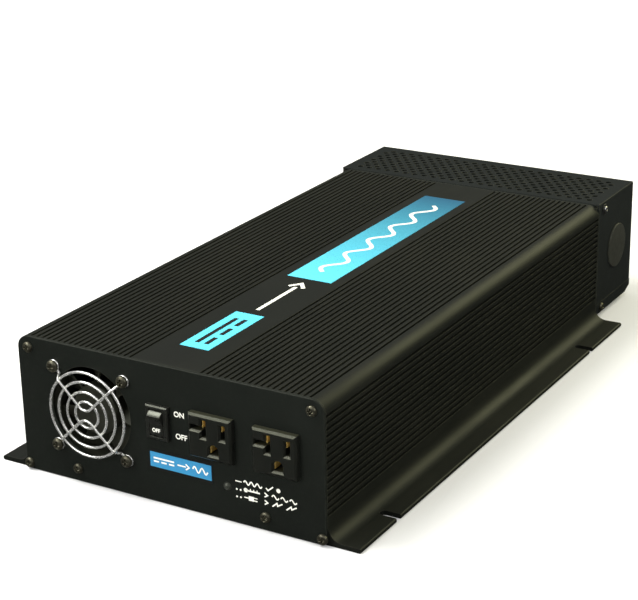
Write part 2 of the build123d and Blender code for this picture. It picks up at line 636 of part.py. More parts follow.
def make_earth_stud():
    x, z = GROUND_PLACE
    head = 3.0
    stud = bar("Y", (x, REAR_INNER - head, z), 2 * GROUND_RADIUS, head)
    stud += bar("Y", (x, REAR_INNER - 1, z), GROUND_RADIUS, 22.0)
    save("earth_stud", stud)
    save("earth_nut", nut((x, REAR_FACE, z), 10.0, GROUND_RADIUS + THREAD_CLEARANCE, 5.0))


def make_remote_block():
    """A row of screw terminals for the remote switch, with wire holes below the screws."""
    ways = 4
    pitch = 5.0
    middle, window_z = BLOCK_PLACE
    width, height = BLOCK_WINDOW
    gap = 0.4
    terminal = block(around(middle, ways * pitch + 2), (REAR_FACE, REAR_FACE + 13), around(window_z, 16))
    neck = (REAR_INNER - 2, REAR_FACE + 1)
    terminal += block(around(middle, width - gap), neck, around(window_z, height - gap))
    for i in range(ways):
        x = middle + (i - (ways - 1) / 2) * pitch
        terminal -= bar("Y", (x, REAR_FACE + 8, window_z - 3.0), 1.6, 6.0)
        terminal -= bar("Z", (x, REAR_FACE + 7, window_z + 4.0), 1.7, 5.0)
    save("remote_terminal_block", terminal)


# ---- Wiring cover and tray ---------------------------------------------------------------------
def perforation():
    """Staggered round holes over the cover's top."""
    low_y = REAR_FACE + HOLE_MARGIN + HOLE_RADIUS
    rows = int((COVER_DEPTH - 2 * (HOLE_MARGIN + HOLE_RADIUS)) / HOLE_PITCH_Y) + 1
    reach = HALF_WIDTH - HOLE_MARGIN - HOLE_RADIUS
    holes = []
    for row in range(rows):
        shift = HOLE_PITCH_X / 2 if row % 2 else 0
        count = int((2 * reach - 2 * shift) / HOLE_PITCH_X) + 1
        first = -(count - 1) * HOLE_PITCH_X / 2
        for i in range(count):
            holes.append(Pos(first + i * HOLE_PITCH_X, low_y + row * HOLE_PITCH_Y) * Circle(HOLE_RADIUS))
    return holes


def make_cover():
    height = (COVER_FOOT, COVER_HEIGHT)
    shell = block((-HALF_WIDTH, HALF_WIDTH), (REAR_FACE, COVER_END), height)
    top_edges = shell.edges().group_by(Axis.Z)[-1]
    rear_edges = shell.edges().filter_by(Axis.Z).group_by(Axis.Y)[-1]
    shell = fillet(top_edges + rear_edges, 0.8)
    inside = block(
        (-COVER_INNER, COVER_INNER),
        (REAR_FACE - 1, COVER_END - COVER_SHEET),
        (COVER_FOOT - 1, COVER_HEIGHT - COVER_SHEET),
    )
    shell -= inside
    field = Pos(0, 0, COVER_HEIGHT - 3) * extrude(Sketch() + perforation(), 4)
    shell -= field
    plug_y, plug_z = PLUG_PLACE
    shell -= bar("X", (-HALF_WIDTH - 1, plug_y, plug_z), PLUG_RADIUS - 1.0, CASE_WIDTH + 2)
    screw_y, screw_z = side_screw_places()[0]
    shell -= bar("X", (-HALF_WIDTH - 1, screw_y, screw_z), SCREW_RADIUS + HOLE_CLEARANCE, CASE_WIDTH + 2)
    for x, z in rear_screw_places():
        shell -= bar("Y", (x, COVER_END - 3, z), SCREW_RADIUS + HOLE_CLEARANCE, 4)
    save("wiring_cover", shell)

    plug = bar("X", (0, plug_y, plug_z), PLUG_RADIUS, 1.2)
    plug = fillet(plug.edges().group_by(Axis.X)[-1], 0.5)
    plug += ring("X", (-4.0, plug_y, plug_z), PLUG_RADIUS - 1.1, PLUG_RADIUS - 2.6, 4.2)
    turned = Pos(0, 2 * plug_y, 0) * Rot(0, 0, 180) * plug
    save("knockout_plugs", Pos(HALF_WIDTH, 0, 0) * plug, Pos(-HALF_WIDTH, 0, 0) * turned)


def rear_screw_places():
    """The screws through the cover's rear wall into the tray's lap, in X and Z."""
    return [(side * 70.0, 16.0) for side in SIDES]


def tray_outline(inset):
    """The tray's side outline, with its rear lower corner sloped; inset shrinks it on three sides."""
    slope_start = COVER_END - 8.5
    rise = 3.4
    return Polyline(
        (REAR_FACE, TRAY_FOOT + inset),
        (slope_start - inset * 0.2, TRAY_FOOT + inset),
        (COVER_END - inset, TRAY_FOOT + rise + inset * 0.8),
        (COVER_END - inset, COVER_FOOT + (1 if inset else 0)),
        (REAR_FACE, COVER_FOOT + (1 if inset else 0)),
        close=True,
    )


def make_tray():
    across = Plane((-HALF_WIDTH, 0, 0), x_dir=(0, 1, 0), z_dir=(1, 0, 0))
    tray = extrude(across * make_face(tray_outline(0)), CASE_WIDTH)
    hollow = Plane((-COVER_INNER, 0, 0), x_dir=(0, 1, 0), z_dir=(1, 0, 0))
    tray -= extrude(hollow * make_face(tray_outline(COVER_SHEET)), 2 * COVER_INNER)
    foot = TRAY_FOOT + 0.5
    lap_outer = COVER_INNER - LAP_GAP
    lap_end = COVER_END - COVER_SHEET - LAP_GAP
    for side in SIDES:
        lap_x = sorted((side * (lap_outer - COVER_SHEET), side * lap_outer))
        tray += block(lap_x, (REAR_FACE + 1, lap_end - 8), (foot, LAP_HEIGHT))
    tray += block((-80, 80), (lap_end - COVER_SHEET, lap_end), (TRAY_FOOT + 4, LAP_HEIGHT))
    y, z = side_screw_places()[1]
    tray -= bar("X", (-HALF_WIDTH - 1, y, z), SCREW_RADIUS + HOLE_CLEARANCE, CASE_WIDTH + 2)
    for x, rear_z in rear_screw_places():
        tray -= bar("Y", (x, lap_end - 3, rear_z), SCREW_RADIUS + THREAD_CLEARANCE, 4)
    save("wiring_tray", tray)


def make_cover_screws():
    """The cover's side screws, bright on black washers, the tray's side screws, and the rear screws."""
    inward = {-1: Rot(0, 90, 0), 1: Rot(0, -90, 0)}
    (cover_y, cover_z), (tray_y, tray_z) = side_screw_places()
    washer = 0.8
    bright = pan_screw(7, SCREW_RADIUS, 2.3, 1.3)
    rim = 4.0
    black_washer = ring("Z", (0, 0, -washer), rim, SCREW_RADIUS + HOLE_CLEARANCE, washer)
    black_washer = chamfer(black_washer.edges().group_by(Axis.Z)[0].sort_by(SortBy.RADIUS)[-1], 0.3)
    places = {side: Pos(side * HALF_WIDTH, cover_y, cover_z) * inward[side] for side in SIDES}
    save("cover_screws", *[places[side] * Pos(0, 0, -washer) * bright for side in SIDES])
    save("cover_washers", *[places[side] * black_washer for side in SIDES])
    tray_places = [Pos(side * HALF_WIDTH, tray_y, tray_z) * inward[side] for side in SIDES]
    save("tray_screws", *[place * pan_screw(7) for place in tray_places])
    rear = Rot(90, 0, 0)
    save("cover_rear_screws", *[Pos(x, COVER_END, z) * rear * pan_screw(6) for x, z in rear_screw_places()])


# ---- Electronics -------------------------------------------------------------------------------
def standoff_places():
    """The board's six standoffs, in X and Y."""
    x = BOARD_SIZE[0] / 2 - 6
    back = BOARD_FRONT + BOARD_SIZE[1]
    return [(side * x, y) for side in SIDES for y in (BOARD_FRONT + 8, (BOARD_FRONT + back) / 2, back - 8)]


def make_board():
    width, length = BOARD_SIZE
    board = block((-width / 2, width / 2), (BOARD_FRONT, BOARD_FRONT + length), (BOARD_Z, BOARD_TOP))
    board -= [bar("Z", (x, y, BOARD_Z), SCREW_RADIUS + HOLE_CLEARANCE, 2) for x, y in standoff_places()]
    save("main_board", board)
    bore = SCREW_RADIUS + THREAD_CLEARANCE
    height = BOARD_Z - BASE_THICKNESS
    standoff = ring("Z", (0, 0, BASE_THICKNESS), 3.5, bore, height)
    save("board_standoffs", *[Pos(x, y, 0) * standoff for x, y in standoff_places()])
    down = Rot(180, 0, 0)
    save("board_screws", *[Pos(x, y, BOARD_TOP) * down * pan_screw(6) for x, y in standoff_places()])


def make_transformers():
    """Two ferrite core transformers: each core has two windows round the winding on its middle leg."""
    y = 235.0
    cores = []
    windings = []
    for x in (-38.0, 38.0):
        core = block(around(x, 56), around(y, 24), (BOARD_TOP + 2, BOARD_TOP + 58))
        for side in SIDES:
            core -= block(around(x + side * 15.5, 13), around(y, 26), (BOARD_TOP + 12, BOARD_TOP + 48))
        coil = block(around(x, 43), around(y, 42), (BOARD_TOP + 13, BOARD_TOP + 47))
        coil = fillet(coil.edges().filter_by(Axis.Z), 6.0)
        leg = block(around(x, 18.4), around(y, 24.4), (BOARD_TOP + 12, BOARD_TOP + 48))
        cores.append(core)
        windings.append(coil - leg)
    save("transformer_cores", *cores)
    save("transformer_windings", *windings)


def make_inductor():
    """Output filter inductor: a toroid core with separate thick turns."""
    x, y = 52.0, 118.0
    z = BOARD_TOP + 30.0
    centre = Pos(x, y, z)
    core = ring("Y", (x, y - 9, z), 23.0, 12.0, 18.0)
    turns = []
    for i in range(18):
        loop = block((10.8, 24.0), around(0, 20.4), around(0, 2.2))
        loop -= block((11.9, 23.1), around(0, 18.2), (-2, 2))
        turns.append(centre * Rot(0, 20 * i, 0) * loop)
    save("inductor_core", core)
    save("inductor_winding", *turns)


def make_capacitors():
    """Input capacitors by the rear terminals and the box-shaped output filter capacitor."""
    cans = []
    for row in range(2):
        for i in range(4):
            can = bar("Z", (8.0 + 22.0 * i, 305.0 + 22.0 * row, BOARD_TOP), 9.0, 36.0)
            cans.append(fillet(can.edges().group_by(Axis.Z)[-1], 1.0))
    save("input_capacitors", *cans)
    film = block(around(0.0, 20), around(110, 32), (BOARD_TOP, BOARD_TOP + 26))
    save("filter_capacitor", fillet(film.edges().group_by(Axis.Z)[-1], 1.0))


def make_transistors():
    """Power transistors against both side walls, with thermal pads and a clamp bar over each row."""
    count = 8
    pitch = 20.0
    first = 130.0
    pad = 0.5
    body_depth = 5.0
    ys = [first + pitch * i for i in range(count)]
    length = (ys[0] - 9, ys[-1] + 9)
    pads = []
    packages = []
    clamps = []

    def span(side, near, far):
        return sorted((side * (INNER_HALF - near), side * (INNER_HALF - far)))

    for side in SIDES:
        pads.append(block(span(side, 0, pad), length, (24.0, 48.0)))
        for y in ys:
            package = block(span(side, pad, pad + body_depth), around(y, 16), (26.0, 46.0))
            leg_x = span(side, 2.6, 3.2)
            package += [block(leg_x, around(y + dy, 1.2), (BOARD_TOP, 26.0)) for dy in (-5.4, 0, 5.4)]
            packages.append(package)
        clamps.append(block(span(side, pad + body_depth, pad + body_depth + 3), length, (31.0, 41.0)))
    save("thermal_pads", *pads)
    save("power_transistors", *packages)
    save("clamp_bars", *clamps)


def make_control_board():
    """An upright board with three chips on its front and a header behind its foot."""
    x, y = -52.0, 100.0
    back = y + BOARD_THICKNESS
    save("control_board", block(around(x, 64), (y, back), (BOARD_TOP, BOARD_TOP + 46)))
    save("control_header", block(around(x, 44), (back, back + 5), (BOARD_TOP, BOARD_TOP + 8)))
    save("control_chips", *[block(around(x + dx, 9), (y - 1.8, y), around(34, 11)) for dx in (-18, 0, 18)])


def make_fuses():
    """A row of blade fuses in front of the negative bus bar."""
    first = -84.0
    pitch = 9.0
    height = (BOARD_TOP, BOARD_TOP + 13)
    save("input_fuses", *[block(around(first + pitch * i, 5.2), around(300, 19), height) for i in range(6)])


os.makedirs("parts", exist_ok=True)
make_case()
make_base()
make_front_panel()
make_labels()
make_lamp()
make_guard()
make_fan()
make_switch()
for outlet_side, outlet_x in OUTLET_PLACES.items():
    make_outlet(outlet_side, outlet_x)
make_rear_panel()
make_dc_terminals()
make_earth_stud()
make_remote_block()
make_cover()
make_tray()
make_cover_screws()
make_board()
make_transformers()
make_inductor()
make_capacitors()
make_transistors()
make_control_board()
make_fuses()
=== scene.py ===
import json
import math

import bmesh
import bpy
from mathutils import Matrix, Vector


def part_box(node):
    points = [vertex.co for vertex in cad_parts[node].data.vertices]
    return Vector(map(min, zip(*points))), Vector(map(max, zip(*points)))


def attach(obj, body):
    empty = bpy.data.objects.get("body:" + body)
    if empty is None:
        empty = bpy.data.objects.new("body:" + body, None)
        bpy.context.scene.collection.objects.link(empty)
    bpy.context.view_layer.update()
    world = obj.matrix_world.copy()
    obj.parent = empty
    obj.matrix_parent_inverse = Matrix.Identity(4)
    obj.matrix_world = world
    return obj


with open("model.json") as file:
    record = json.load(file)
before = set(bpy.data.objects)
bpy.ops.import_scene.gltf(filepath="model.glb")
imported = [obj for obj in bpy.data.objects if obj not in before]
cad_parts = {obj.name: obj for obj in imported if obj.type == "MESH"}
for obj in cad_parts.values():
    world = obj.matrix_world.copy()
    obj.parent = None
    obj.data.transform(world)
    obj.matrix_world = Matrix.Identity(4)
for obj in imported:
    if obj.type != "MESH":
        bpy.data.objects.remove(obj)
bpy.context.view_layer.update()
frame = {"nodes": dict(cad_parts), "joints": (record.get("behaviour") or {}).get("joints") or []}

MM = 0.001

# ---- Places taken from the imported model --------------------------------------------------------
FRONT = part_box("front_panel")[0].y
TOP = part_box("finned_case")[1].z
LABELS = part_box("top_labels")
FRONT_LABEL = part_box("front_label")
JOINTS = {joint["name"]: joint for joint in frame["joints"]}

# ---- Looks shared by several pieces ------------------------------------------------------------
OLIVE_SHEEN = (0.95, 1.0, 0.82, 1)
SURFACE_DETAIL = 0.15 * MM      # radius over which bare metal's edges look rounded
FILM = 0.15                     # the labels' thickness in mm, so that ink lies on top of them
BAR_INK = 0.02                  # thickness in mm of the front bar's colour
SIGN_INK = 0.04                 # thickness in mm of printed signs

# ---- Stage: brightnesses, and distances in metres ----------------------------------------------
HORIZON = 0.03
ZENITH = 0.8
BACKDROP = 0.92
FLOOR_HALF = 6.0
FLOOR_GLOW = 0.5
GLOW_START = 0.9
GLOW_END = 2.2
LIGHT_DISTANCE = 1.7

# ---- Camera, worked out from the case's corners ------------------------------------------------
CAMERA_PLACE = (548.9 * MM, FRONT - 744.0 * MM, 472.0 * MM)
CAMERA_YAW = math.radians(30.489)
CAMERA_PITCH = math.radians(20.601)
CAMERA_ROLL = math.radians(-0.973)
CAMERA_LENS = 100.35
CAMERA_SHIFT = (-0.0204, -0.0034)


# ---- Shader helpers ----------------------------------------------------------------------------
class Surface:
    """A Principled material whose colour, roughness and relief come from procedural nodes."""

    def __init__(self, name, colour, roughness, metallic=0.0, gloss=0.2):
        self.mat = bpy.data.materials.new(name)
        self.mat.use_nodes = True
        self.tree = self.mat.node_tree
        self.bsdf = self.tree.nodes["Principled BSDF"]
        self.bsdf.inputs["Base Color"].default_value = (*colour, 1)
        self.bsdf.inputs["Roughness"].default_value = roughness
        self.bsdf.inputs["Metallic"].default_value = metallic
        if metallic < 1:
            self.bsdf.inputs["Specular IOR Level"].default_value = gloss
            self.bsdf.inputs["Specular Tint"].default_value = OLIVE_SHEEN
        self.colour = None
        self.base = colour
        self.rough = roughness

    def node(self, kind, **settings):
        made = self.tree.nodes.new(kind)
        for key, value in settings.items():
            setattr(made, key, value)
        return made

    def link(self, start, end):
        self.tree.links.new(start, end)

    def math(self, operation, first, second=0.5, clamp=False):
        made = self.node("ShaderNodeMath", operation=operation, use_clamp=clamp)
        for socket, value in zip(made.inputs, (first, second)):
            if isinstance(value, (int, float)):
                socket.default_value = value
            else:
                self.link(value, socket)
        return made.outputs[0]

    def place(self):
        """The point's place in metres, in the object's own frame."""
        return self.node("ShaderNodeTexCoord").outputs["Object"]

    def split(self, vector):
        made = self.node("ShaderNodeSeparateXYZ")
        self.link(vector, made.inputs[0])
        return made.outputs

    def noise(self, scale, stretch=(1, 1, 1), detail=3.0):
        """Noise from 0 to 1, with its scale in cells per metre along each axis."""
        mapping = self.node("ShaderNodeMapping")
        mapping.inputs["Scale"].default_value = stretch
        self.link(self.place(), mapping.inputs["Vector"])
        made = self.node("ShaderNodeTexNoise")
        made.inputs["Scale"].default_value = scale
        made.inputs["Detail"].default_value = detail
        self.link(mapping.outputs[0], made.inputs["Vector"])
        return made.outputs["Fac"]

    def ramp(self, value, low, high):
        """Value remapped so that low gives 0 and high gives 1."""
        made = self.node("ShaderNodeMapRange")
        made.inputs["From Min"].default_value = low
        made.inputs["From Max"].default_value = high
        self.link(value, made.inputs["Value"])
        return made.outputs["Result"]

    def edges(self, radius, gain=6.0):
        """A mask that is 1 on sharp edges and 0 on flat faces."""
        bevel = self.node("ShaderNodeBevel", samples=4)
        bevel.inputs["Radius"].default_value = radius
        normal = self.node("ShaderNodeNewGeometry").outputs["Normal"]
        dot = self.node("ShaderNodeVectorMath", operation="DOT_PRODUCT")
        self.link(bevel.outputs[0], dot.inputs[0])
        self.link(normal, dot.inputs[1])
        away = self.math("SUBTRACT", 1.0, dot.outputs["Value"])
        return self.math("MULTIPLY", away, gain, clamp=True)

    def tint(self, mask, colour):
        """Mixes the colour so far with another, by a mask."""
        mix = self.node("ShaderNodeMix", data_type="RGBA")
        self.link(mask, mix.inputs[0])
        first, second = [s for s in mix.inputs if s.type == "RGBA"]
        first.default_value = (*self.base, 1)
        second.default_value = (*colour, 1)
        if self.colour is not None:
            self.link(self.colour, first)
        self.colour = [s for s in mix.outputs if s.type == "RGBA"][0]
        self.link(self.colour, self.bsdf.inputs["Base Color"])
        return self

    def roughen(self, value, amount):
        """Roughness varies about its middle by plus or minus amount."""
        varied = self.node("ShaderNodeMapRange")
        varied.inputs["From Min"].default_value = 0.3
        varied.inputs["From Max"].default_value = 0.7
        varied.inputs["To Min"].default_value = self.rough - amount
        varied.inputs["To Max"].default_value = self.rough + amount
        self.link(value, varied.inputs["Value"])
        self.link(varied.outputs["Result"], self.bsdf.inputs["Roughness"])
        return self

    def relief(self, value, depth, strength=1.0, round_edges=0.0):
        """Bump of the given depth in metres, over edges softened by round_edges."""
        bump = self.node("ShaderNodeBump")
        bump.inputs["Strength"].default_value = strength
        bump.inputs["Distance"].default_value = depth
        self.link(value, bump.inputs["Height"])
        if round_edges:
            bevel = self.node("ShaderNodeBevel", samples=4)
            bevel.inputs["Radius"].default_value = round_edges
            self.link(bevel.outputs[0], bump.inputs["Normal"])
        self.link(bump.outputs[0], self.bsdf.inputs["Normal"])
        return self

    def mask_box(self, low, high):
        """A mask that is 1 inside a box, in the object's frame."""
        parts = self.split(self.place())
        mask = None
        for socket, a, b in zip(parts, low, high):
            above = self.math("GREATER_THAN", socket, a)
            inside = self.math("MULTIPLY", above, self.math("LESS_THAN", socket, b))
            mask = inside if mask is None else self.math("MULTIPLY", mask, inside)
        return mask


# ---- Materials ---------------------------------------------------------------------------------
def anodised():
    """Black anodised extrusion: die lines along Y, and a painted brown highlight on sharp edges such as the
    fin edges and flange tips.
    """
    s = Surface("anodised_case", (0.0076, 0.0086, 0.007), 0.5, gloss=0.16)
    lines = s.noise(900, (1, 0.008, 1), 4)
    blotches = s.noise(28, (1, 0.5, 1), 4)
    s.tint(s.ramp(blotches, 0.45, 0.75), (0.0115, 0.0122, 0.0094))
    # Painted highlight: sharp edges are tinted a light olive brown.
    s.tint(s.math("MULTIPLY", s.edges(0.45 * MM, 5.0), 0.5), (0.052, 0.052, 0.036))
    s.roughen(s.noise(60, (1, 0.2, 1), 3), 0.05)
    s.relief(lines, 0.02 * MM, 0.6, 0.3 * MM)
    return s.mat


def powder_coat(name, colour, grain=1500, edge_highlight=(0.09, 0.09, 0.066), amount=0.8, gloss=0.15):
    """Fine textured powder coat, lighter in patches along the sheet's edges: partly wear, partly a painted
    highlight.
    """
    s = Surface(name, colour, 0.5, gloss=gloss)
    s.tint(s.ramp(s.noise(9, detail=3), 0.35, 0.75), tuple(c * 1.3 for c in colour))
    s.tint(s.math("MULTIPLY", s.ramp(s.noise(420, detail=3), 0.5, 0.68), 0.5), tuple(c * 1.5 for c in colour))
    specks = s.ramp(s.noise(grain * 0.8, detail=2), 0.6, 0.72)
    s.tint(s.math("MULTIPLY", specks, 0.4), tuple(c * 2.2 for c in colour))
    # Partly wear, partly painted highlight: lighter patches along the sheet's edges.
    wear_and_highlight = s.math("MULTIPLY", s.edges(0.6 * MM, 4.0), s.ramp(s.noise(120, detail=4), 0.2, 0.6))
    s.tint(s.math("MULTIPLY", wear_and_highlight, amount), edge_highlight)
    s.roughen(s.noise(45, detail=3), 0.06)
    s.relief(s.noise(grain, detail=5), 0.05 * MM, 0.8, 0.35 * MM)
    return s.mat


def metal(name, colour, roughness, brush=(1, 1, 1), edge_highlight=None, metallic=1.0, scratch=0.01,
          soften=SURFACE_DETAIL):
    """Bare or plated metal with fine scratches and edges brightened by a painted highlight."""
    s = Surface(name, colour, roughness, metallic)
    s.tint(s.ramp(s.noise(180, detail=4), 0.4, 0.8), tuple(c * 0.72 for c in colour))
    if edge_highlight:
        # Painted highlight: sharp edges are given a brighter colour.
        s.tint(s.edges(0.35 * MM, 3.0), edge_highlight)
    s.roughen(s.noise(700, brush, 4), min(0.08, roughness * 0.5))
    s.relief(s.noise(2500, brush, 3), scratch * MM, 0.4, soften)
    return s.mat


def plastic(name, colour, roughness, grain=2200, edge_highlight=None, gloss=0.3):
    """Moulded plastic: spark-eroded texture, slight mottling and edges lightened by a painted highlight."""
    s = Surface(name, colour, roughness, gloss=gloss)
    s.tint(s.ramp(s.noise(70, detail=3), 0.4, 0.8), tuple(c * 1.35 for c in colour))
    if edge_highlight:
        # Painted highlight: sharp edges are mixed towards a lighter colour.
        s.tint(s.math("MULTIPLY", s.edges(0.4 * MM, 4.0), 0.7), edge_highlight)
    s.roughen(s.noise(300, detail=3), 0.05)
    s.relief(s.noise(grain, detail=4), 0.03 * MM, 0.5, 0.25 * MM)
    return s.mat


def outlet_plastic(node):
    """Outlet moulding with painted highlights on its edges and upward faces, palest on the slots' upward
    lead-in slopes.
    """
    low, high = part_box(node)
    s = Surface(node + "_plastic", (0.0085, 0.0093, 0.0078), 0.36, gloss=0.35)
    s.tint(s.ramp(s.noise(70, detail=3), 0.4, 0.8), (0.012, 0.0125, 0.0102))
    # Painted highlight on the moulding's sharp edges.
    s.tint(s.math("MULTIPLY", s.edges(0.4 * MM, 4.0), 0.35), (0.06, 0.06, 0.046))
    up = s.split(s.node("ShaderNodeNewGeometry").outputs["True Normal"])[2]
    inset = 1.6 * MM
    # Painted highlight: faces that point up are tinted paler, as if lit from above.
    s.tint(s.math("GREATER_THAN", up, 0.7), (0.03, 0.031, 0.019))
    # Painted highlight: the upward lead-in slopes of the slots are tinted pale, broken up by noise.
    lead_in = s.mask_box(
        (low.x + inset, low.y - MM, low.z + inset), (high.x - inset, low.y + 2.2 * MM, high.z - inset)
    )
    painted_slope_highlight = s.math("MULTIPLY", s.math("GREATER_THAN", up, 0.3), lead_in)
    s.tint(s.math("MULTIPLY", painted_slope_highlight, s.ramp(s.noise(900, detail=3), 0.0, 0.5)), (0.062, 0.062, 0.046))
    s.roughen(s.noise(300, detail=3), 0.05)
    s.relief(s.noise(2200, detail=4), 0.03 * MM, 0.5, 0.25 * MM)
    return s.mat


def film(name, near, far=None, start=0.0, end=1.0, axis=1):
    """Printed film whose colour fades from near to far along an axis, with fine print grain."""
    s = Surface(name, near, 0.45, gloss=0.25)
    if far:
        s.tint(s.ramp(s.split(s.place())[axis], start, end), far)
    s.tint(s.ramp(s.noise(1200, detail=2), 0.55, 0.9), tuple(c * 0.85 for c in (far or near)))
    s.roughen(s.noise(250, detail=3), 0.05)
    s.relief(s.noise(1800, detail=3), 0.01 * MM, 0.4)
    return s.mat


def board(name):
    """Green solder mask with paler copper traces beneath."""
    s = Surface(name, (0.01, 0.09, 0.03), 0.3)
    s.tint(s.ramp(s.noise(160, (1, 0.2, 1), 1), 0.5, 0.52), (0.02, 0.15, 0.05))
    s.roughen(s.noise(400), 0.05)
    s.relief(s.noise(160, (1, 0.2, 1), 1), 0.03 * MM)
    return s.mat


def copper_winding(name):
    """Enamelled wire turns drawn as a fine relief round the coil."""
    s = Surface(name, (0.45, 0.16, 0.05), 0.3, 0.9)
    wave = s.node("ShaderNodeTexWave", bands_direction="Z")
    wave.inputs["Scale"].default_value = 160
    s.link(s.place(), wave.inputs["Vector"])
    s.tint(s.ramp(wave.outputs["Fac"], 0.0, 0.5), (0.6, 0.26, 0.09))
    s.roughen(s.noise(300), 0.08)
    s.relief(wave.outputs["Fac"], 0.3 * MM)
    return s.mat


def lamp_lens():
    """Unlit smoked lens."""
    s = Surface("lamp_lens", (0.034, 0.037, 0.03), 0.32, gloss=0.5)
    s.tint(s.ramp(s.noise(900), 0.4, 0.8), (0.048, 0.052, 0.043))
    s.relief(s.noise(1500), 0.01 * MM, 0.3, 0.2 * MM)
    return s.mat


# The edge colours in this list are painted highlights on the parts' edges.
BLACK_SCREW = metal("black_oxide", (0.11, 0.105, 0.075), 0.38, edge_highlight=(0.42, 0.4, 0.28), metallic=0.85)
ZINC = metal("zinc_plate", (0.66, 0.66, 0.63), 0.3, edge_highlight=(0.85, 0.85, 0.82))
CHROME = metal("chrome_wire", (0.95, 0.95, 0.91), 0.22, metallic=0.78, scratch=0.0008, soften=0.0)
BRASS = metal("brass_contact", (0.9, 0.62, 0.18), 0.42, metallic=0.55)
MILL = metal("mill_aluminium", (0.62, 0.62, 0.63), 0.38, (1, 0.02, 1))
FERRITE = plastic("ferrite_core", (0.05, 0.05, 0.055), 0.5, 1200, (0.14, 0.14, 0.14))
BLACK_PLASTIC = plastic("black_moulding", (0.011, 0.011, 0.0108), 0.4, edge_highlight=(0.05, 0.05, 0.043))
FAN_PLASTIC = plastic("fan_moulding", (0.02, 0.02, 0.014), 0.4, edge_highlight=(0.05, 0.05, 0.04), gloss=0.4)
SWITCH_PLASTIC = plastic("switch_moulding", (0.0105, 0.011, 0.0098), 0.3, 3000, (0.07, 0.068, 0.052), 0.6)
PLUG_PLASTIC = plastic("plug_moulding", (0.026, 0.027, 0.022), 0.42, 1600, (0.09, 0.09, 0.068))
EPOXY = plastic("black_epoxy", (0.02, 0.02, 0.02), 0.5, 3000)
INSULATOR = plastic("phenolic", (0.25, 0.02, 0.015), 0.35, edge_highlight=(0.4, 0.06, 0.05))
GREEN_PLASTIC = plastic("green_terminal", (0.02, 0.2, 0.05), 0.4, edge_highlight=(0.1, 0.4, 0.15))
FUSE_PLASTIC = plastic("fuse_body", (0.04, 0.28, 0.07), 0.25, edge_highlight=(0.2, 0.5, 0.25))
CAN = plastic("capacitor_sleeve", (0.015, 0.02, 0.07), 0.25, edge_highlight=(0.1, 0.12, 0.2))
BOX_CAPACITOR = plastic("capacitor_box", (0.35, 0.2, 0.03), 0.35, edge_highlight=(0.5, 0.35, 0.1))
SILICONE = plastic("silicone_pad", (0.35, 0.35, 0.37), 0.7)
WINDING = copper_winding("enamelled_copper")
BOARD = board("solder_mask")
WHITE_INK = film("white_ink", (0.9, 0.9, 0.8))
DARK_INK = film("dark_ink", (0.009, 0.0095, 0.0095))
BAND_FILM = film("cyan_film", (0.125, 0.7, 0.88), (0.02, 0.11, 0.195), LABELS[0].y + 130 * MM, LABELS[1].y)
BLUE_FILM = film("blue_film", (0.032, 0.26, 0.5))
# Powder coat edge colours: lighter edges that are partly wear and partly a painted highlight.
PANEL_PAINT = powder_coat("panel_powder_coat", (0.0078, 0.0094, 0.0078))
COVER_PAINT = powder_coat("cover_powder_coat", (0.0118, 0.0135, 0.0128), 1300, (0.1, 0.098, 0.06), 0.9, 0.04)

NODE_MATERIALS = {
    BLACK_SCREW: ("base_screws", "front_panel_screws", "fan_screws", "rear_panel_screws", "tray_screws",
                  "cover_rear_screws"),
    ZINC: ("cover_screws", "fan_nuts", "fan_bearings", "fan_shaft", "terminal_washers", "terminal_nuts",
           "earth_stud", "earth_nut", "board_standoffs", "board_screws"),
    CHROME: ("fan_guard",),
    BRASS: ("switch_terminals", "outlet_left_contacts", "outlet_right_contacts", "dc_studs"),
    MILL: ("base_plate", "clamp_bars"),
    FERRITE: ("transformer_cores", "inductor_core", "fan_magnet"),
    BLACK_PLASTIC: ("lamp_holder", "control_header", "cover_washers"),
    FAN_PLASTIC: ("fan_frame", "fan_rotor"),
    SWITCH_PLASTIC: ("switch_body", "rocker"),
    PLUG_PLASTIC: ("knockout_plugs",),
    BAND_FILM: ("top_labels",),
    EPOXY: ("power_transistors", "control_chips"),
    INSULATOR: ("terminal_insulators",),
    GREEN_PLASTIC: ("remote_terminal_block",),
    FUSE_PLASTIC: ("input_fuses",),
    CAN: ("input_capacitors",),
    BOX_CAPACITOR: ("filter_capacitor",),
    SILICONE: ("thermal_pads",),
    WINDING: ("transformer_windings", "inductor_winding", "fan_stator", "bus_bars"),
    BOARD: ("main_board", "control_board"),
    PANEL_PAINT: ("front_panel", "rear_panel"),
    COVER_PAINT: ("wiring_cover", "wiring_tray"),
    DARK_INK: ("front_label",),
    anodised(): ("finned_case",),
    lamp_lens(): ("status_lamp",),
}


def paint(node, mat):
    mesh = frame["nodes"][node].data
    mesh.materials.clear()
    mesh.materials.append(mat)


for mat, nodes in NODE_MATERIALS.items():
    for node in nodes:
        paint(node, mat)
for node in ("outlet_left_body", "outlet_right_body"):
    paint(node, outlet_plastic(node))


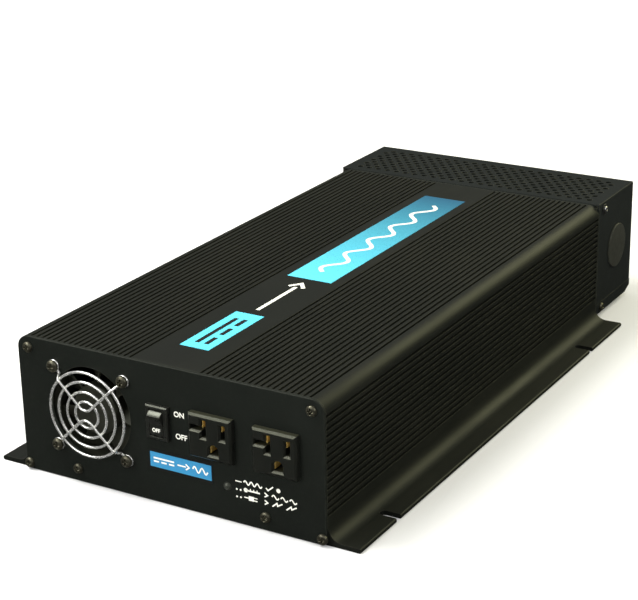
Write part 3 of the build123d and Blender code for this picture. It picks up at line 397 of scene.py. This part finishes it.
# ---- Printed graphics --------------------------------------------------------------------------
class Canvas:
    """A flat printing area: outlines in millimetres along u and v become thin slabs of ink."""

    def __init__(self, origin, u, v, normal):
        self.frame = Matrix((Vector(u), Vector(v), Vector(normal))).transposed().to_4x4()
        self.frame.translation = Vector(origin)

    def print(self, name, outlines, mat, body, slot, lift=0.0, ink=SIGN_INK):
        """Ink slabs from outlines, each a list of (u, v) points, lifted off the canvas by lift mm."""
        bm = bmesh.new()
        for outline in outlines:
            base = [bm.verts.new((u * MM, v * MM, lift * MM)) for u, v in outline]
            raised = bmesh.ops.extrude_face_region(bm, geom=[bm.faces.new(base)])["geom"]
            for vert in raised:
                if isinstance(vert, bmesh.types.BMVert):
                    vert.co.z += ink * MM
        bmesh.ops.recalc_face_normals(bm, faces=bm.faces)
        mesh = bpy.data.meshes.new(name)
        bm.to_mesh(mesh)
        bm.free()
        mesh.transform(self.frame)
        add_piece(name, mesh, mat, body)

    def letters(self, name, text, height, middle, bold, body, lift=0.0, ink=SIGN_INK):
        """Plain white lettering about a middle point, as a mesh, with strokes widened by bold mm."""
        curve = bpy.data.curves.new(name + "_outline", "FONT")
        curve.body = text
        curve.size = height * MM / 0.72
        curve.align_x = "CENTER"
        curve.align_y = "CENTER"
        curve.offset = bold * MM
        curve.extrude = ink * MM / 2
        curve.resolution_u = 6
        writer = bpy.data.objects.new(name + "_writer", curve)
        mesh = bpy.data.meshes.new_from_object(writer)
        mesh.name = name
        bpy.data.objects.remove(writer)
        shift = Matrix.Translation((middle[0] * MM, middle[1] * MM, (lift + ink / 2) * MM))
        mesh.transform(self.frame @ shift)
        add_piece(name, mesh, WHITE_INK, body)


def add_piece(name, mesh, mat, body):
    mesh.materials.clear()
    mesh.materials.append(mat)
    piece = bpy.data.objects.new(name, mesh)
    bpy.context.scene.collection.objects.link(piece)
    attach(piece, body)


def bar(u, v, width, height):
    """A bar with its lower left corner at (u, v)."""
    return [(u, v), (u + width, v), (u + width, v + height), (u, v + height)]


def dot(u, v, radius):
    return [(u + radius * math.cos(math.radians(30 * i)), v + radius * math.sin(math.radians(30 * i)))
            for i in range(12)]


def stroke(points, line):
    """A line of even width through the points, with square ends and mitred corners."""
    left = []
    right = []
    for i, (u, v) in enumerate(points):
        before = Vector(points[max(i - 1, 0)])
        after = Vector(points[min(i + 1, len(points) - 1)])
        here = Vector((u, v))
        into = (here - before).normalized() if i else (after - here).normalized()
        out = (after - here).normalized() if i < len(points) - 1 else into
        along = (into + out).normalized()
        across = Vector((-along.y, along.x)) * line / 2 / max(0.35, along.dot(into))
        left.append(tuple(here + across))
        right.append(tuple(here - across))
    return right + left[::-1]


def wave(u, v, length, swing, periods, line):
    """A sine wave that starts at (u, v)."""
    count = int(periods * 20)
    points = []
    for i in range(count + 1):
        angle = 2 * math.pi * periods * i / count
        points.append((u + length * i / count, v + swing * math.sin(angle)))
    return stroke(points, line)


def chevron(u, v, width, height, line):
    """An arrowhead that points along +u."""
    return stroke([(u, v), (u + width, v + height / 2), (u, v + height)], line)


def direct_current(u, v, unit):
    """The usual sign for direct current: a line over three dashes. unit is the sign's space in height."""
    line = unit * 0.15
    sign = [bar(u, v + unit * 0.58, unit * 2.1, line)]
    sign += [bar(u + unit * 0.78 * i, v + unit * 0.27, unit * 0.54, line) for i in range(3)]
    return sign


def arrow(u, v, length, unit):
    """An arrow along +u whose shaft lies at height v."""
    line = unit * 0.13
    head = unit * 0.34
    return [
        bar(u, v - line / 2, length - head, line),
        chevron(u + length - head, v - unit * 0.26, head, unit * 0.52, line),
    ]


def print_top():
    """Direct current, an arrow and a wave: u runs back and v runs to the left."""
    strip = Canvas((0, FRONT, TOP), (0, 1, 0), (-1, 0, 0), (0, 0, 1))
    unit = 20.4
    source = direct_current(38.5, -unit / 2, unit)
    strip.print("top_direct_current", source, DARK_INK, "case", "label_film", FILM + 0.01)
    strip.print("top_arrow", arrow(99.0, 0.0, 52.0, unit), WHITE_INK, "case", "label_film")
    output = wave(176.0, -0.4, 156.0, swing=5.0, periods=5.0, line=3.0)
    strip.print("top_wave", [output], WHITE_INK, "case", "label_film", FILM)


def print_front():
    """On the front panel: u runs right and v runs up, from the panel's bottom middle."""
    panel = Canvas((0, FRONT, 0), (1, 0, 0), (0, 0, 1), (0, -1, 0))
    low, high = FRONT_LABEL
    margin = 0.9
    left = low.x / MM + margin
    width = (high.x - low.x) / MM - 2 * margin
    unit = (high.z - low.z) / MM - 4 * margin
    base = low.z / MM + 2 * margin
    middle = base + unit / 2
    panel.print("front_bar", [bar(left, base, width, unit)], BLUE_FILM, "case", "front_print", FILM, BAR_INK)
    sign = 6.8
    on_bar = FILM + BAR_INK
    source = direct_current(left + 2.4, middle - sign / 2, sign)
    panel.print("front_direct_current", source, WHITE_INK, "case", "front_print", on_bar)
    signs = arrow(left + 19.0, middle, 8.0, sign)
    signs.append(wave(left + 29.5, middle, width - 32.0, swing=1.7, periods=2.0, line=0.9))
    panel.print("front_wave", signs, WHITE_INK, "case", "front_print", on_bar)

    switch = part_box("switch_body")
    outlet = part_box("outlet_left_body")
    middle = (switch[1].x + outlet[0].x) / 2 / MM
    rocker_z = JOINTS["rocker_tilt"]["pos_m"][2] / MM
    panel.letters("on_print", "ON", 3.3, (middle - 1.0, rocker_z + 6.9), 0.12, "case")
    panel.letters("off_print", "OFF", 3.3, (middle, rocker_z - 6.7), 0.12, "case")
    print_legend(panel)


def print_legend(panel):
    """Three rows of a lamp legend: a steady dash or two blinks, then pictograms."""
    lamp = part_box("status_lamp")
    u = lamp[1].x / MM + 8.1
    pitch = 4.6
    line = 0.8
    marks = [bar(u - 5.6, 26.5, 4.2, 0.7)]
    for row in (1, 2):
        marks += [dot(u - 4.8, 26.4 - pitch * row, 0.6), dot(u - 2.2, 26.4 - pitch * row, 0.6)]
    steady = 27.1
    marks.append(wave(u, steady, 12.0, 1.1, 3.0, line))
    marks.append(stroke([(u + 14.6, steady), (u + 16.0, steady - 1.4), (u + 19.4, steady + 1.5)], line))
    marks.append(dot(u + 22.8, steady, 1.35))
    heat = steady - pitch
    marks += [dot(u + 1.2, heat, 1.4), bar(u + 2.0, heat - 0.5, 8.6, 1.0)]
    marks += [bar(u + 4.0 + 2.2 * i, heat + 0.5, 0.6, 0.9) for i in range(3)]
    marks.append(chevron(u + 13.6, heat - 1.3, 2.0, 2.6, line))
    for i in range(3):
        marks.append(wave(u + 18.4 + 5.8 * i, heat, 4.6, 1.1, 1.0, line))
    load = heat - pitch
    marks += [bar(u, load - 0.35, 3.0, 0.7), bar(u + 3.0, load - 1.4, 3.4, 2.8)]
    marks += [bar(u + 6.4, load + side * 0.85 - 0.3, 2.4, 0.6) for side in (-1, 1)]
    marks.append(chevron(u + 13.6, load - 1.3, 2.0, 2.6, line))
    bolt = [(0.0, -1.4), (3.0, 1.2), (3.4, -0.4), (6.6, 1.5)]
    for i in range(2):
        marks.append(stroke([(u + 18.6 + 9.2 * i + du, load + dv) for du, dv in bolt], line))
    panel.print("legend_print", marks, WHITE_INK, "case", "front_print")


def print_rocker():
    """OFF on the rocker's lower half, which lies level with the bezel at rest."""
    low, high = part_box("rocker")
    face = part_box("switch_body")[0].y
    pivot_z = JOINTS["rocker_tilt"]["pos_m"][2]
    canvas = Canvas(((low.x + high.x) / 2, face, pivot_z), (1, 0, 0), (0, 0, 1), (0, -1, 0))
    canvas.letters("rocker_print", "OFF", 2.3, (-0.1, -4.4), 0.12, "switch_rocker", 0.02)


print_top()
print_front()
print_rocker()


# ---- Stage, lights and camera ------------------------------------------------------------------
def make_floor():
    """Pale floor, not mirrored in the object's dark sides, that glows faintly where no light falls."""
    corners = [(x * FLOOR_HALF, y * FLOOR_HALF, 0) for x, y in ((-1, -1), (1, -1), (1, 1), (-1, 1))]
    mesh = bpy.data.meshes.new("studio_floor")
    mesh.from_pydata(corners, [], [(0, 1, 2, 3)])
    floor = bpy.data.objects.new("studio_floor", mesh)
    bpy.context.scene.collection.objects.link(floor)
    s = Surface("floor_paper", (0.93, 0.93, 0.93), 0.85, gloss=0.1)
    s.relief(s.noise(400), 0.05 * MM, 0.2)
    distance = s.node("ShaderNodeVectorMath", operation="LENGTH")
    s.link(s.place(), distance.inputs[0])
    far_out = s.ramp(distance.outputs["Value"], GLOW_START, GLOW_END)
    s.bsdf.inputs["Emission Color"].default_value = (1, 1, 1, 1)
    s.link(s.math("MULTIPLY", far_out, FLOOR_GLOW), s.bsdf.inputs["Emission Strength"])
    mesh.materials.append(s.mat)
    floor.visible_glossy = False


def make_light(name, direction, size, radiance, colour=(1, 1, 1)):
    """A soft rectangular light in a direction from the object, with the brightness of its own face."""
    light = bpy.data.lights.new(name, "AREA")
    light.shape = "RECTANGLE"
    light.size, light.size_y = size
    light.energy = radiance * math.pi * size[0] * size[1]
    light.color = colour
    lamp = bpy.data.objects.new(name, light)
    lamp.location = Vector(direction).normalized() * LIGHT_DISTANCE
    lamp.rotation_mode = "QUATERNION"
    lamp.rotation_quaternion = (-Vector(direction)).to_track_quat("-Z", "Y")
    bpy.context.scene.collection.objects.link(lamp)


def make_world():
    """Dim near the horizon and bright overhead for the object, and evenly pale behind it."""
    world = bpy.data.worlds.new("studio")
    bpy.context.scene.world = world
    world.use_nodes = True
    tree = world.node_tree
    sky = tree.nodes["Background"]
    height = tree.nodes.new("ShaderNodeSeparateXYZ")
    tree.links.new(tree.nodes.new("ShaderNodeTexCoord").outputs["Generated"], height.inputs[0])
    shade = tree.nodes.new("ShaderNodeMapRange")
    shade.interpolation_type = "SMOOTHSTEP"
    for socket, value in (("From Min", 0.1), ("From Max", 0.95), ("To Min", HORIZON), ("To Max", ZENITH)):
        shade.inputs[socket].default_value = value
    tree.links.new(height.outputs["Z"], shade.inputs["Value"])
    tree.links.new(shade.outputs["Result"], sky.inputs["Strength"])
    backdrop = tree.nodes.new("ShaderNodeBackground")
    for background in (sky, backdrop):
        background.inputs["Color"].default_value = (1, 1, 1, 1)
    backdrop.inputs["Strength"].default_value = BACKDROP
    mix = tree.nodes.new("ShaderNodeMixShader")
    tree.links.new(tree.nodes.new("ShaderNodeLightPath").outputs["Is Camera Ray"], mix.inputs["Fac"])
    tree.links.new(sky.outputs[0], mix.inputs[1])
    tree.links.new(backdrop.outputs[0], mix.inputs[2])
    tree.links.new(mix.outputs[0], tree.nodes["World Output"].inputs["Surface"])


def make_camera():
    data = bpy.data.cameras.new("photo_camera")
    data.sensor_width = 36
    data.lens = CAMERA_LENS
    data.shift_x, data.shift_y = CAMERA_SHIFT
    data.clip_start = 0.05
    camera = bpy.data.objects.new("photo_camera", data)
    bpy.context.scene.collection.objects.link(camera)
    cos_pitch = math.cos(CAMERA_PITCH)
    forward = Vector((
        -math.sin(CAMERA_YAW) * cos_pitch,
        math.cos(CAMERA_YAW) * cos_pitch,
        -math.sin(CAMERA_PITCH),
    ))
    level = Vector((math.cos(CAMERA_YAW), math.sin(CAMERA_YAW), 0))
    upright = level.cross(forward)
    right = math.cos(CAMERA_ROLL) * level + math.sin(CAMERA_ROLL) * upright
    up = math.cos(CAMERA_ROLL) * upright - math.sin(CAMERA_ROLL) * level
    turn = Matrix((right, up, -forward)).transposed().to_4x4()
    camera.matrix_world = Matrix.Translation(CAMERA_PLACE) @ turn
    bpy.context.scene.camera = camera


make_world()
make_floor()
make_light("overhead_light", (-0.48, -0.25, 0.84), (0.8, 0.8), 12.5, (1, 0.99, 0.96))
make_light("corner_light", (0.35, 0.8, 0.475), (1.4, 0.8), 3.9, (1, 0.97, 0.58))
make_light("front_light", (-0.35, -0.85, 0.42), (0.9, 0.5), 7)
make_light("left_light", (-0.95, 0.1, 0.35), (0.8, 0.6), 1.5)
make_light("right_light", (0.9, -0.2, 0.6), (1.0, 0.8), 3)
make_camera()
bpy.context.scene.view_settings.view_transform = "Standard"
